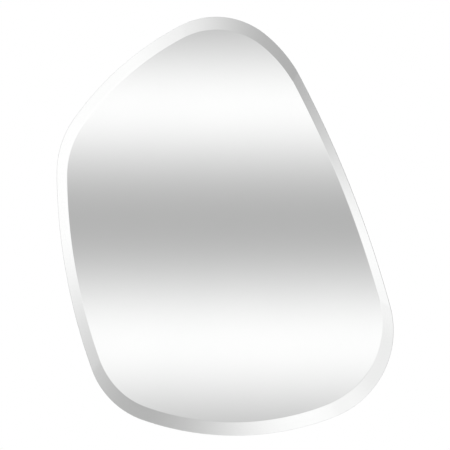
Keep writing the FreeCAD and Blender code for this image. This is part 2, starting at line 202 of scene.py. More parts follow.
class Workpiece:
    """A bmesh in the making, with the operations that this object's pieces share."""

    def __init__(self) -> None:
        """Starts empty."""
        self.bm = bmesh.new()

    def trace(self, arcs: Sequence[Arc], y: float, step: float) -> BMFace:
        """Draws a closed outline by spinning a vertex round the centre of each arc, and fills it.

        Args:
            arcs: The outline.
            y: Its plane.
            step: Longest distance between two vertices.

        Returns:
            The face inside the outline.
        """
        first = bmesh.ops.create_vert(self.bm, co=arcs[0].point(0.0, y))["vert"][0]
        last = first
        for arc in arcs:
            spun = bmesh.ops.spin(
                self.bm, geom=[last], cent=(arc.x, y, arc.z), axis=-WALLWARD, angle=arc.sweep,
                steps=math.ceil(arc.radius * arc.sweep / step), use_merge=False,
                use_normal_flip=False, use_duplicate=False,
            )
            last = of_kind(spun["geom_last"], BMVert)[0]
            last.co = arc.point(1.0, y)
        bmesh.ops.pointmerge(self.bm, verts=[first, last], merge_co=arcs[0].point(0.0, y))
        return bmesh.ops.edgeloop_fill(self.bm, edges=self.bm.edges)["faces"][0]

    def raise_face(self, face: BMFace, height: float, ratio: float = 1.0, focus: Vector = ORIGIN) -> BMFace:
        """Extrudes a face along Y, and may draw it in towards an axis along Y.

        Args:
            face: The face.
            height: Distance along Y.
            ratio: Scale of the raised face across Y.
            focus: A point of the axis.

        Returns:
            The raised face.
        """
        grown = bmesh.ops.extrude_face_region(self.bm, geom=[face])["geom"]
        verts = of_kind(grown, BMVert)
        bmesh.ops.translate(self.bm, verts=verts, vec=WALLWARD * height)
        bmesh.ops.scale(self.bm, verts=verts, vec=(ratio, 1.0, ratio), space=Matrix.Translation(-focus))
        if face.is_valid and any(len(edge.link_faces) > 2 for edge in face.edges):
            bmesh.ops.delete(self.bm, geom=[face], context="FACES_ONLY")
        return of_kind(grown, BMFace)[0]

    def push(self, edges: Sequence[BMEdge], shift: Vector, ratio: float = 1.0) -> list[BMEdge]:
        """Extrudes a loop of edges, and may draw it in towards the Y axis.

        Args:
            edges: The loop.
            shift: Way and distance.
            ratio: Scale of the far end across Y.

        Returns:
            The loop at the far end.
        """
        grown = bmesh.ops.extrude_edge_only(self.bm, edges=edges)["geom"]
        verts = of_kind(grown, BMVert)
        bmesh.ops.translate(self.bm, verts=verts, vec=shift)
        bmesh.ops.scale(self.bm, verts=verts, vec=(ratio, 1.0, ratio))
        return [edge for edge in of_kind(grown, BMEdge) if set(edge.verts) <= set(verts)]

    def sweep(self, edges: Sequence[BMEdge], centre: Vector, angle: float, steps: int) -> list[BMEdge]:
        """Spins a loop of edges anticlockwise as the viewer sees it, round an axis along Y.

        Args:
            edges: The loop.
            centre: A point of the axis.
            angle: How far the loop turns.
            steps: Number of steps of the turn.

        Returns:
            The loop at the far end.
        """
        spun = bmesh.ops.spin(
            self.bm, geom=edges, cent=centre, axis=-WALLWARD, angle=angle, steps=steps,
            use_merge=False, use_normal_flip=False, use_duplicate=False,
        )
        return of_kind(spun["geom_last"], BMEdge)

    def soften(self, edges: Sequence[BMEdge], width: float, segments: int) -> None:
        """Rounds edges.

        Args:
            edges: The edges.
            width: Width of the rounding on each side.
            segments: Number of its faces.
        """
        bmesh.ops.bevel(
            self.bm, geom=list(edges), offset=width, offset_type="OFFSET", segments=segments,
            profile=0.5, affect="EDGES", material=-1, clamp_overlap=True,
        )

    def sharp_edges(self, angle: float) -> list[BMEdge]:
        """Edges whose faces meet at more than an angle."""
        return [edge for edge in self.bm.edges if edge.calc_face_angle(0.0) > angle]

    def edges_at(self, y: float) -> list[BMEdge]:
        """Edges that lie in a plane across Y."""
        return [e for e in self.bm.edges if all(abs(v.co.y - y) < MERGE_DISTANCE for v in e.verts)]

    def close(self) -> None:
        """Merges doubles and points every face outwards."""
        bmesh.ops.remove_doubles(self.bm, verts=self.bm.verts, dist=MERGE_DISTANCE)
        bmesh.ops.recalc_face_normals(self.bm, faces=self.bm.faces)

    def piece(
        self, name: str, body: str, finishes: Sequence[Material], slot: str,
        nodes: Sequence[str], crease: float = SOFT_CREASE,
    ) -> Object:
        """Turns the work into a finished piece of the scene.

        Args:
            name: Name of the piece.
            body: Body that it rides on.
            finishes: Its materials, in the order of their indices.
            slot: The record's material slot; not used.
            nodes: CAD nodes that it stands for.
            crease: Angle from which an edge stays sharp.

        Returns:
            The object.
        """
        for face in self.bm.faces:
            face.smooth = True
        for edge in self.bm.edges:
            edge.smooth = edge.calc_face_angle(0.0) < crease
        mesh = bpy.data.meshes.new(name)
        self.bm.to_mesh(mesh)
        self.bm.free()
        for finish in finishes:
            mesh.materials.append(finish)
        made = bpy.data.objects.new(name, mesh)
        bpy.context.scene.collection.objects.link(made)
        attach(made, body)
        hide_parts(*nodes)
        LOG.info("%s: %d faces, rides on %s", name, len(mesh.polygons), body)
        return made


def copy_of_node(node: Object) -> Workpiece:
    """Copies a CAD node's mesh, merged and with its flat triangles joined.

    Args:
        node: The node's object.

    Returns:
        The copy, ready to be worked on.
    """
    work = Workpiece()
    work.bm.from_mesh(node.data)
    bmesh.ops.remove_doubles(work.bm, verts=work.bm.verts, dist=MERGE_DISTANCE)
    bmesh.ops.dissolve_limit(work.bm, angle_limit=FLAT_ANGLE, verts=work.bm.verts, edges=work.bm.edges)
    return work


# ---- shader trees
Term = float | Sequence[float] | NodeSocket


class BlendMode(Enum):
    """What a Mix node mixes; the value is its first and second input and its output."""

    FLOAT = (2, 3, 0)
    RGBA = (6, 7, 2)


class Tree:
    """A node tree, with short calls that add and join its nodes."""

    def __init__(self, tree: NodeTree) -> None:
        """Wraps a tree."""
        self.tree = tree

    def add(self, kind: str, **settings: object) -> Node:
        """Adds a node.

        Args:
            kind: Its type.
            settings: Its properties.

        Returns:
            The node.
        """
        node = self.tree.nodes.new(kind)
        for name, value in settings.items():
            setattr(node, name, value)
        return node

    def feed(self, socket: NodeSocket, term: Term) -> None:
        """Joins an output to a socket, or sets the socket to a plain value.

        Args:
            socket: The input.
            term: The output or the value.
        """
        if isinstance(term, NodeSocket):
            self.tree.links.new(term, socket)
        else:
            socket.default_value = term

    def calc(self, operation: str, *terms: Term) -> NodeSocket:
        """Adds a Math node.

        Args:
            operation: Its operation.
            terms: Its inputs in order.

        Returns:
            Its output.
        """
        node = self.add("ShaderNodeMath", operation=operation)
        for socket, term in zip(node.inputs, terms):
            self.feed(socket, term)
        return node.outputs[0]

    def ease(
        self, value: Term, start: float, end: float, low: Term = 0.0, high: Term = 1.0
    ) -> NodeSocket:
        """Eases from one value to another while the input goes from start to end.

        Args:
            value: The input.
            start: Input at which the easing starts.
            end: Input at which it ends.
            low: Output up to the start.
            high: Output from the end on.

        Returns:
            The output.
        """
        node = self.add("ShaderNodeMapRange", interpolation_type="SMOOTHSTEP")
        for name, term in (
            ("Value", value), ("From Min", start), ("From Max", end), ("To Min", low), ("To Max", high)
        ):
            self.feed(node.inputs[name], term)
        return node.outputs[0]

    def blend(self, mode: BlendMode, factor: Term, first: Term, second: Term) -> NodeSocket:
        """Mixes two values or colours.

        Args:
            mode: What is mixed.
            factor: Share of the second.
            first: What stands at factor 0.
            second: What stands at factor 1.

        Returns:
            The mixture.
        """
        node = self.add("ShaderNodeMix", data_type=mode.name)
        first_input, second_input, output = mode.value
        for index, term in ((0, factor), (first_input, first), (second_input, second)):
            self.feed(node.inputs[index], term)
        return node.outputs[output]

    def mix(self, factor: Term, first: Term, second: Term) -> NodeSocket:
        """Mixes two colours: the first at factor 0, the second at factor 1."""
        return self.blend(BlendMode.RGBA, factor, first, second)

    def pick(self, factor: Term, first: Term, second: Term) -> NodeSocket:
        """Mixes two values: the first at factor 0, the second at factor 1."""
        return self.blend(BlendMode.FLOAT, factor, first, second)

    def noise(self, place: Term, scale: Term, detail: float) -> NodeSocket:
        """Adds a noise in space.

        Args:
            place: Where it is read.
            scale: Its scale.
            detail: How many finer layers it has.

        Returns:
            Its value.
        """
        node = self.add("ShaderNodeTexNoise", noise_dimensions="3D")
        for name, term in (("Vector", place), ("Scale", scale), ("Detail", detail)):
            self.feed(node.inputs[name], term)
        return node.outputs[0]


def shader_group(
    name: str, inputs: dict[str, tuple[str, float | None]], outputs: dict[str, str],
    fill: Callable[[Tree, Node, Node], None],
) -> NodeTree:
    """Builds a shader node group once.

    Args:
        name: Its name.
        inputs: Input name to socket type and default.
        outputs: Output name to socket type.
        fill: Function that fills the tree between its input and output nodes.

    Returns:
        The group, new or as built before.
    """
    if name in bpy.data.node_groups:
        return bpy.data.node_groups[name]
    group = bpy.data.node_groups.new(name, "ShaderNodeTree")
    for label, (kind, default) in inputs.items():
        socket = group.interface.new_socket(label, in_out="INPUT", socket_type=kind)
        if default is not None:
            socket.default_value = default
    for label, kind in outputs.items():
        group.interface.new_socket(label, in_out="OUTPUT", socket_type=kind)
    tree = Tree(group)
    fill(tree, tree.add("NodeGroupInput"), tree.add("NodeGroupOutput"))
    return group


def grain_group() -> NodeTree:
    """Builds the group of irregular grain, for specks, mottling and roller texture.

    Returns:
        The group, which puts out a fine and a broad mask.
    """
    cut = (0.30, 0.70)
    scales = {"Fine": 400.0, "Broad": 20.0}
    details = {"Fine": 4.0, "Broad": 3.0}

    def fill(tree: Tree, start: Node, end: Node) -> None:
        """Joins two noises to the outputs.

        Args:
            tree: The group's tree.
            start: Its input node.
            end: Its output node.
        """
        for name, detail in details.items():
            noise = tree.noise(start.outputs["Vector"], start.outputs[name + " Scale"], detail)
            tree.feed(end.inputs[name], tree.ease(noise, *cut))

    inputs = {name + " Scale": ("NodeSocketFloat", scale) for name, scale in scales.items()}
    return shader_group(
        "irregular_grain", {"Vector": ("NodeSocketVector", None)} | inputs,
        dict.fromkeys(scales, "NodeSocketFloat"), fill,
    )


def streak_group() -> NodeTree:
    """Builds the group of rolled or drawn metal.

    Returns:
        The group, which puts out fine streaks along one axis and faint handling marks.
    """
    streak_detail, streak_cut = 5.0, (0.25, 0.75)
    mark_scale, mark_detail, mark_cut = 260.0, 6.0, (0.58, 0.72)

    def fill(tree: Tree, start: Node, end: Node) -> None:
        """Stretches one noise into streaks and thresholds another into marks.

        Args:
            tree: The group's tree.
            start: Its input node.
            end: Its output node.
        """
        stretch = tree.add("ShaderNodeVectorMath", operation="MULTIPLY")
        tree.feed(stretch.inputs[0], start.outputs["Vector"])
        tree.feed(stretch.inputs[1], start.outputs["Stretch"])
        streak = tree.noise(stretch.outputs[0], 1.0, streak_detail)
        marks = tree.noise(start.outputs["Vector"], mark_scale, mark_detail)
        tree.feed(end.inputs["Streak"], tree.ease(streak, *streak_cut))
        tree.feed(end.inputs["Marks"], tree.ease(marks, *mark_cut))

    vector = ("NodeSocketVector", None)
    return shader_group(
        "metal_streaks", {"Vector": vector, "Stretch": vector},
        {"Streak": "NodeSocketFloat", "Marks": "NodeSocketFloat"}, fill,
    )


# ---- finishes
Colour = tuple[float, float, float, float]


class Dressing:
    """A material in the making: its tree, its shader and the piece's own coordinates."""

    def __init__(self, name: str) -> None:
        """Starts a material with a plain shader.

        Args:
            name: Name of the material.
        """
        material = bpy.data.materials.new(name)
        material.use_nodes = True
        self.tree = Tree(material.node_tree)
        self.shader = material.node_tree.nodes["Principled BSDF"]
        self.place = self.tree.add("ShaderNodeTexCoord").outputs["Object"]

    def feed(self, **terms: Term) -> None:
        """Joins outputs to the shader or sets its sockets; underscores stand for spaces."""
        for name, term in terms.items():
            self.tree.feed(self.shader.inputs[name.replace("_", " ")], term)

    def lay(self, group: NodeTree, **terms: Term) -> NodeOutputs:
        """Lays a node group on the piece.

        Args:
            group: The group.
            terms: Its other inputs by name, with underscores for spaces.

        Returns:
            Its outputs.
        """
        node = self.tree.add("ShaderNodeGroup", node_tree=group)
        for name, term in ({"Vector": self.place} | terms).items():
            self.tree.feed(node.inputs[name.replace("_", " ")], term)
        return node.outputs

    def relief(self, height: Term, depth: float) -> None:
        """Adds a fine relief.

        Args:
            height: Height mask.
            depth: Depth of the relief in metres.
        """
        node = self.tree.add("ShaderNodeBump")
        for name, term in (("Strength", 1.0), ("Distance", depth), ("Height", height)):
            self.tree.feed(node.inputs[name], term)
        self.feed(Normal=node.outputs[0])


class Finish:
    """A finish of one kind of piece; each kind dresses the material in its own way."""

    name: str

    def dress(self, work: Dressing) -> None:
        """Dresses the material in the making."""

    def material(self) -> Material:
        """Gives the material, built at the first call.

        Returns:
            The material.
        """
        if self.name not in bpy.data.materials:
            self.dress(Dressing(self.name))
        return bpy.data.materials[self.name]


@dataclass(frozen=True)
class ClearGlass(Finish):
    """Polished float glass, with the faintest green that drifts very slightly over the pane."""

    name: str = "clear_float_glass"
    clear: Colour = (0.993, 0.996, 0.994, 1.0)
    faintly_green: Colour = (0.987, 0.992, 0.989, 1.0)
    drift_scale: float = 4.0

    def dress(self, work: Dressing) -> None:
        """Makes a clear dielectric.

        Args:
            work: The material in the making.
        """
        drift = work.lay(grain_group(), Broad_Scale=self.drift_scale)["Broad"]
        tint = work.tree.mix(drift, self.clear, self.faintly_green)
        work.feed(Base_Color=tint, Roughness=0.0, IOR=GLASS_REFRACTION, Transmission_Weight=1.0)


@dataclass(frozen=True)
class GroundEdge(Finish):
    """The seamed and polished rim of the glass: clear, but finely streaked by the wheel."""

    name: str = "polished_glass_rim"
    pale: Colour = (0.982, 0.990, 0.986, 1.0)
    green: Colour = (0.950, 0.970, 0.960, 1.0)
    stretch: tuple[float, float, float] = (90.0, 2600.0, 90.0)
    roughness: tuple[float, float] = (0.04, 0.16)

    def dress(self, work: Dressing) -> None:
        """Streaks roughness and tint along the thickness.

        Args:
            work: The material in the making.
        """
        streak = work.lay(streak_group(), Stretch=self.stretch)["Streak"]
        tint = work.tree.mix(streak, self.pale, self.green)
        rough = work.tree.ease(streak, 0.0, 1.0, *self.roughness)
        work.feed(Base_Color=tint, Roughness=rough, IOR=GLASS_REFRACTION, Transmission_Weight=1.0)


@dataclass(frozen=True)
class SilverFilm(Finish):
    """Silver laid on glass: nearly perfect, with a trace of mottling."""

    name: str = "bright_silver"
    bright: Colour = (0.985, 0.985, 0.983, 1.0)
    mottled: Colour = (0.978, 0.978, 0.977, 1.0)
    mottle_scale: float = 7.0

    def dress(self, work: Dressing) -> None:
        """Makes a mirror whose brightness drifts by less than a percent.

        Args:
            work: The material in the making.
        """
        mottle = work.lay(grain_group(), Broad_Scale=self.mottle_scale)["Broad"]
        tint = work.tree.mix(mottle, self.bright, self.mottled)
        work.feed(Base_Color=tint, Metallic=1.0, Roughness=0.0)


@dataclass(frozen=True)
class Matt(Finish):
    """A matt, grained finish: back paint, fibreboard, foam, mastic or rubber."""

    name: str
    dark: Colour
    pale: Colour
    speck: Colour
    fine_scale: float
    broad_scale: float
    roughness: float
    relief: float
    speck_share: float = 0.25
    roughness_swing: float = 0.06

    def dress(self, work: Dressing) -> None:
        """Mottles the colour broadly, specks it finely and raises the grain.

        Args:
            work: The material in the making.
        """
        tree = work.tree
        grain = work.lay(grain_group(), Fine_Scale=self.fine_scale, Broad_Scale=self.broad_scale)
        ground = tree.mix(grain["Broad"], self.dark, self.pale)
        specks = tree.calc("MULTIPLY", grain["Fine"], self.speck_share)
        smooth, rough = self.roughness - self.roughness_swing, self.roughness + self.roughness_swing
        work.feed(
            Base_Color=tree.mix(specks, ground, self.speck),
            Roughness=tree.ease(grain["Fine"], 0.0, 1.0, smooth, rough),
        )
        work.relief(grain["Fine"], self.relief)


@dataclass(frozen=True)
class Metal(Finish):
    """Plated steel with streaks along one axis and faint handling marks."""

    name: str
    bright: Colour
    dull: Colour
    stretch: tuple[float, float, float]
    roughness: float
    relief: float
    streak_smoothing: float = 0.05
    streak_roughening: float = 0.07
    mark_share: float = 0.5
    mark_roughening: float = 0.08

    def dress(self, work: Dressing) -> None:
        """Streaks colour and roughness, and dulls the metal where it was handled.

        Args:
            work: The material in the making.
        """
        tree = work.tree
        streaks = work.lay(streak_group(), Stretch=self.stretch)
        ground = tree.mix(streaks["Streak"], self.bright, self.dull)
        marks = tree.calc("MULTIPLY", streaks["Marks"], self.mark_share)
        smooth, rough = self.roughness - self.streak_smoothing, self.roughness + self.streak_roughening
        streaked = tree.ease(streaks["Streak"], 0.0, 1.0, smooth, rough)
        work.feed(
            Base_Color=tree.mix(marks, ground, self.dull), Metallic=1.0,
            Roughness=tree.calc("MULTIPLY_ADD", streaks["Marks"], self.mark_roughening, streaked),
        )
        work.relief(streaks["Streak"], self.relief)


BACK_PAINT = Matt(
    "grey_back_paint", (0.180, 0.200, 0.198, 1.0), (0.225, 0.247, 0.245, 1.0),
    (0.290, 0.312, 0.310, 1.0), 900.0, 16.0, 0.62, 0.00003,
)
FIBREBOARD = Matt(
    "raw_fibreboard", (0.425, 0.290, 0.170, 1.0), (0.455, 0.315, 0.188, 1.0),
    (0.265, 0.165, 0.090, 1.0), 1300.0, 9.0, 0.78, 0.00004, 0.38,
)
FOAM = Matt(
    "white_foam_tape", (0.690, 0.690, 0.670, 1.0), (0.750, 0.750, 0.730, 1.0),
    (0.560, 0.560, 0.540, 1.0), 1400.0, 60.0, 0.85, 0.00005,
)
MASTIC = Matt(
    "cured_mastic", (0.470, 0.450, 0.390, 1.0), (0.540, 0.520, 0.460, 1.0),
    (0.600, 0.580, 0.520, 1.0), 220.0, 50.0, 0.50, 0.00008,
)
RUBBER = Matt(
    "black_rubber", (0.013, 0.013, 0.013, 1.0), (0.020, 0.020, 0.020, 1.0),
    (0.070, 0.068, 0.064, 1.0), 1100.0, 70.0, 0.58, 0.00003, 0.30,
)
ZINC_STRIP = Metal(
    "zinc_plated_strip", (0.640, 0.650, 0.655, 1.0), (0.480, 0.485, 0.480, 1.0),
    (3200.0, 3200.0, 160.0), 0.27, 0.00001,
)
NICKEL_WIRE = Metal(
    "nickel_plated_wire", (0.700, 0.680, 0.640, 1.0), (0.560, 0.540, 0.500, 1.0),
    (900.0, 900.0, 900.0), 0.18, 0.000006,
)
ZINC_SCREW = Metal(
    "zinc_plated_screw", (0.660, 0.670, 0.680, 1.0), (0.500, 0.505, 0.505, 1.0),
    (1500.0, 400.0, 1500.0), 0.24, 0.00001,
)


# ---- pane
@dataclass
class Pane:
    """The silvered and painted glass with its ground bevel."""

    outline: PaneOutline
    bevel_width: float = 0.0237
    bevel_focus: tuple[float, float, float] = (-0.0095, 0.0, 0.0080)
    edge_thickness: float = 0.0020
    arris: float = 0.0007
    arris_faces: int = 2
    silver_bite: float = 0.00002
    step: float = 0.0025
    ridge_crease: float = math.radians(3.0)
    flat_facing: float = 0.95

    def build(self) -> None:
        """Builds the glass, the silver and the paint."""
        self.glass()
        self.film("silver_film", "silver_coating", "silver", SilverFilm(), self.silver_bite)
        self.film("back_paint_film", "back_paint", "back_paint", BACK_PAINT, 0.0)

    def glass(self) -> None:
        """Builds the glass: rim, ground bevel up to its ridge, and polished arrises."""
        front, back = (corner.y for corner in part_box("mirror_glass"))
        half_height = max(corner.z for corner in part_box("mirror_glass"))
        work = Workpiece()
        rear = work.trace(self.outline.arcs(), back, self.step)
        shoulder = work.raise_face(rear, -self.edge_thickness)
        ratio = 1 - self.bevel_width / half_height
        work.raise_face(shoulder, front - back + self.edge_thickness, ratio, Vector(self.bevel_focus))
        work.close()
        rims = work.edges_at(back) + work.edges_at(back - self.edge_thickness)
        work.soften(rims, self.arris, self.arris_faces)
        work.bm.normal_update()
        for face in work.bm.faces:
            face.material_index = int(abs(face.normal.y) < self.flat_facing)
        finishes = [ClearGlass().material(), GroundEdge().material()]
        work.piece("glass_pane", ROOT_BODY, finishes, "glass", ["mirror_glass"], self.ridge_crease)

    def film(self, name: str, node: str, slot: str, finish: Finish, bite: float) -> None:
        """Builds a thin film on the back of the glass.

        Args:
            name: Name of the piece.
            node: CAD node that it stands for.
            slot: Material slot.
            finish: Its finish.
            bite: How far its front is sunk into what lies before it.
        """
        front, back = (corner.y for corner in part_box(node))
        work = Workpiece()
        face = work.trace(self.outline.arcs(self.arris), back, self.step)
        work.raise_face(face, front - bite - back)
        work.close()
        work.piece(name, ROOT_BODY, [finish.material()], slot, [node])


# ---- board and bond
@dataclass
class Backing:
    """The backing board with the foam tapes and mastic that bond it to the pane."""

    outline: PaneOutline
    inset: float = 0.036
    edge_radius: float = 0.0015
    edge_faces: int = 4
    step: float = 0.004
    dab_edge: float = 0.0003
    dab_faces: int = 2
    dab_crease: float = math.radians(60.0)

    def build(self, nodes: dict[str, Object]) -> None:
        """Builds the board and the mastic, and dresses the tapes.

        Args:
            nodes: CAD nodes by name.
        """
        self.board()
        self.mastic(nodes["mastic_dabs"])
        for name, node in nodes.items():
            if name.startswith("foam_tape_"):
                node.data.materials.clear()
                node.data.materials.append(FOAM.material())
                LOG.info("%s: dressed", name)

    def board(self) -> None:
        """Builds the board, its rear rim rounded by the router."""
        front, back = (corner.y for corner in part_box("backing_board"))
        work = Workpiece()
        face = work.trace(self.outline.arcs(self.inset), front, self.step)
        work.raise_face(face, back - front)
        work.close()
        work.soften(work.edges_at(back), self.edge_radius, self.edge_faces)
        work.piece("fibreboard_back", ROOT_BODY, [FIBREBOARD.material()], "board", ["backing_board"])

    def mastic(self, node: Object) -> None:
        """Rounds the rims of the mastic dabs.

        Args:
            node: Their CAD node.
        """
        work = copy_of_node(node)
        work.soften(work.sharp_edges(self.dab_crease), self.dab_edge, self.dab_faces)
        work.piece("mastic_dab_set", ROOT_BODY, [MASTIC.material()], "mastic", ["mastic_dabs"])


@dataclass
class Bumpers:
    """Square tapered rubber bumpers that keep the mirror off the wall."""

    face_width: float = 0.0155
    corner_radius: float = 0.0022
    corner_faces: int = 5
    rim_radius: float = 0.0009
    rim_faces: int = 3
    dimple_inset: float = 0.0022
    dimple_depth: float = 0.0004

    def build(self, names: Iterable[str]) -> None:
        """Builds one bumper for each node.

        Args:
            names: Names of their CAD nodes.
        """
        for name in names:
            self.bumper(name)

    def bumper(self, node: str) -> None:
        """Builds a bumper with rounded corners and a slightly dished face.

        Args:
            node: Its CAD node.
        """
        low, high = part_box(node)
        size = high - low
        middle = (low + high) / 2
        work = Workpiece()
        bmesh.ops.create_cube(work.bm, size=1.0)
        wallward = [vert for vert in work.bm.verts if vert.co.y > 0]
        ratio = self.face_width / size.x
        bmesh.ops.scale(work.bm, verts=wallward, vec=(ratio, 1.0, ratio))
        bmesh.ops.scale(work.bm, verts=work.bm.verts, vec=size)
        bmesh.ops.translate(work.bm, verts=work.bm.verts, vec=middle)
        slopes = [e for e in work.bm.edges if abs(e.verts[0].co.y - e.verts[1].co.y) > size.y / 2]
        work.soften(slopes, self.corner_radius, self.corner_faces)
        top = max(work.bm.faces, key=lambda face: face.calc_center_median().y)
        work.soften(top.edges, self.rim_radius, self.rim_faces)
        top = max(work.bm.faces, key=lambda face: (face.calc_center_median().y, face.calc_area()))
        work.raise_face(top, -self.dimple_depth, 1 - 2 * self.dimple_inset / self.face_width, middle)
        work.close()
        name = node.replace("bumper", "rubber_pad")
        work.piece(name, ROOT_BODY, [RUBBER.material()], "bumper_rubber", [node])


# ---- hangers
class Pointing(Enum):
    """Way that a hanger's ring points; the value is its turn about Y from straight up."""

    UP = 0.0
    LEFT = -QUARTER_TURN


@dataclass
class Hanger:
    """A folded strap with its D-ring, at the place of the ring's joint."""

    name: str
    bar: Vector
    pointing: Pointing
    wire_radius: float = 0.0015
    inner_width: float = 0.016
    inner_depth: float = 0.0135
    corner_radius: float = 0.003
    running_clearance: float = 0.00008
    strap_thickness: float = 0.001
    rest_gap: float = 0.00005
    strap_edge: float = 0.00015
    strap_faces: int = 2
    strap_crease: float = math.radians(50.0)
    wire_faces: int = 20
    corner_steps: int = 8
    bow_steps: int = 28

    def ring(self) -> None:
        """Bends the ring from round wire: bar, two legs and a half-round bow."""
        bow_radius = self.inner_width / 2 + self.wire_radius
        reach = self.inner_depth + self.wire_radius
        bow_z = reach - bow_radius
        corner = self.corner_radius
        half_bar = bow_radius - corner
        work = Workpiece()
        bmesh.ops.create_circle(
            work.bm, cap_ends=False, segments=self.wire_faces, radius=self.wire_radius,
            matrix=Matrix.Rotation(QUARTER_TURN, 4, "Y"),
        )
        loop = work.push(list(work.bm.edges), RIGHTWARD * half_bar)
        loop = work.sweep(loop, Vector((half_bar, 0, corner)), QUARTER_TURN, self.corner_steps)
        loop = work.push(loop, UPWARD * (bow_z - corner))
        loop = work.sweep(loop, Vector((0, 0, bow_z)), HALF_TURN, self.bow_steps)
        loop = work.push(loop, -UPWARD * (bow_z - corner))
        loop = work.sweep(loop, Vector((-half_bar, 0, corner)), QUARTER_TURN, self.corner_steps)
        work.push(loop, RIGHTWARD * half_bar)
        work.close()
        bar_height = self.wire_radius + self.running_clearance + self.strap_thickness
        lean = math.asin((bar_height - self.wire_radius - self.rest_gap) / reach)
        bmesh.ops.rotate(work.bm, verts=work.bm.verts, cent=ORIGIN, matrix=Matrix.Rotation(lean, 3, "X"))
        turn = Matrix.Rotation(self.pointing.value, 4, WALLWARD)
        bmesh.ops.transform(work.bm, matrix=Matrix.Translation(self.bar) @ turn, verts=work.bm.verts)
        work.piece(
            "wire_ring_" + self.name, "ring_" + self.name, [NICKEL_WIRE.material()], "ring_steel",
            ["d_ring_" + self.name],
        )

    def strap(self, nodes: dict[str, Object]) -> None:
        """Takes the folded strap from the CAD and rounds its stamped edges.

        Args:
            nodes: CAD nodes by name.
        """
        node = "hanger_strap_" + self.name
        work = copy_of_node(nodes[node])
        work.soften(work.sharp_edges(self.strap_crease), self.strap_edge, self.strap_faces)
        name = "folded_strap_" + self.name
        made = work.piece(name, ROOT_BODY, [ZINC_STRIP.material()], "strap_steel", [node])
        made.modifiers.new("even_flats", "WEIGHTED_NORMAL").keep_sharp = True


@dataclass
class Screws:
    """Pan-head screws of the hangers, with crossed recesses."""

    offset: float = 0.0095
    shank_radius: float = 0.0015
    length: float = 0.010
    strap_stack: float = 0.002
    head_radius: float = 0.0032
    head_height: float = 0.0019
    rim_height: float = 0.0008
    flat_radius: float = 0.0019
    recess_half_length: float = 0.0014
    recess_half_width: float = 0.0004
    recess_depth: float = 0.0009
    recess_taper: float = 0.7
    corner_draw: float = 0.7
    faces: int = 40
    dome_steps: int = 6
    arm_cells: int = 3

    def build(self, hangers: Sequence[Hanger]) -> None:
        """Builds every screw in one piece, as their CAD node has them.

        Args:
            hangers: The hangers.
        """
        board_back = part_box("backing_board")[1].y
        work = Workpiece()
        for hanger in hangers:
            along = Matrix.Rotation(hanger.pointing.value, 3, WALLWARD) @ UPWARD
            place = hanger.bar - along * self.offset
            place.y = board_back + self.strap_stack
            self.screw(work, place)
        work.close()
        work.piece("screw_set", ROOT_BODY, [ZINC_SCREW.material()], "screw_steel", ["strap_screws"])

    def screw(self, work: Workpiece, place: Vector) -> None:
        """Makes one screw with its head's underside at a point.

        Args:
            work: The work that it is added to.
            place: The point.
        """
        before = set(work.bm.verts)
        bmesh.ops.create_circle(
            work.bm, cap_ends=False, segments=self.faces, radius=self.flat_radius,
            matrix=Matrix.Translation(WALLWARD * self.head_height) @ Matrix.Rotation(QUARTER_TURN, 4, "X"),
        )
        flat = [edge for edge in work.bm.edges if not set(edge.verts) & before]
        self.recess(work, flat)
        loop = flat
        drop = (self.head_height - self.rim_height) / self.dome_steps
        spread = self.head_radius - self.flat_radius
        radius = self.flat_radius
        for step in range(1, self.dome_steps + 1):
            share = step / self.dome_steps
            wider = self.flat_radius + spread * math.sqrt(1 - (1 - share) ** 2)
            loop = work.push(loop, -WALLWARD * drop, wider / radius)
            radius = wider
        loop = work.push(loop, -WALLWARD * self.rim_height)
        loop = work.push(loop, ORIGIN, self.shank_radius / self.head_radius)
        loop = work.push(loop, -WALLWARD * self.length)
        bmesh.ops.edgeloop_fill(work.bm, edges=loop)
        new = [vert for vert in work.bm.verts if vert not in before]
        bmesh.ops.translate(work.bm, verts=new, vec=place)

    def recess(self, work: Workpiece, rim: Sequence[BMEdge]) -> None:
        """Sinks the cross into the head's flat.

        Args:
            work: The work.
            rim: Edge loop of the flat.
        """
        known = set(work.bm.faces)
        grid = bmesh.ops.create_grid(
            work.bm, x_segments=self.arm_cells, y_segments=self.arm_cells, size=self.recess_half_length,
            matrix=Matrix.Translation(WALLWARD * self.head_height) @ Matrix.Rotation(-QUARTER_TURN, 4, "X"),
        )["verts"]
        cells = [face for face in work.bm.faces if face not in known]
        between = (self.recess_half_length + self.recess_half_width) / 2
        for vert in grid:
            inner = [axis for axis in (0, 2) if abs(vert.co[axis]) < between]
            for axis in inner:
                vert.co[axis] = math.copysign(self.recess_half_width, vert.co[axis])
            if not inner:
                bmesh.ops.scale(work.bm, verts=[vert], vec=(self.corner_draw, 1.0, self.corner_draw))
        cross = []
        for face in cells:
            centre = face.calc_center_median()
            if min(abs(centre.x), abs(centre.z)) < self.recess_half_width / 2:
                cross.append(face)
        border = [edge for face in cells for edge in face.edges if len(edge.link_faces) == 1]
        bmesh.ops.bridge_loops(work.bm, edges=list(rim) + border)
        sunk = of_kind(bmesh.ops.extrude_face_region(work.bm, geom=cross)["geom"], BMVert)
        bmesh.ops.translate(work.bm, verts=sunk, vec=-WALLWARD * self.recess_depth)
        bmesh.ops.scale(work.bm, verts=sunk, vec=(self.recess_taper, 1.0, self.recess_taper))
        bmesh.ops.delete(work.bm, geom=[face for face in cross if face.is_valid], context="FACES_ONLY")


# ---- studio
@dataclass(frozen=True)
class GreyCard:
    """A soft-edged grey card in the ring round the lens, which only the bevel reflects.

    Bearings are degrees round the lens, anticlockwise from the viewer's right.
    """

    fade_in: tuple[float, float]
    fade_out: tuple[float, float]
    depth: float


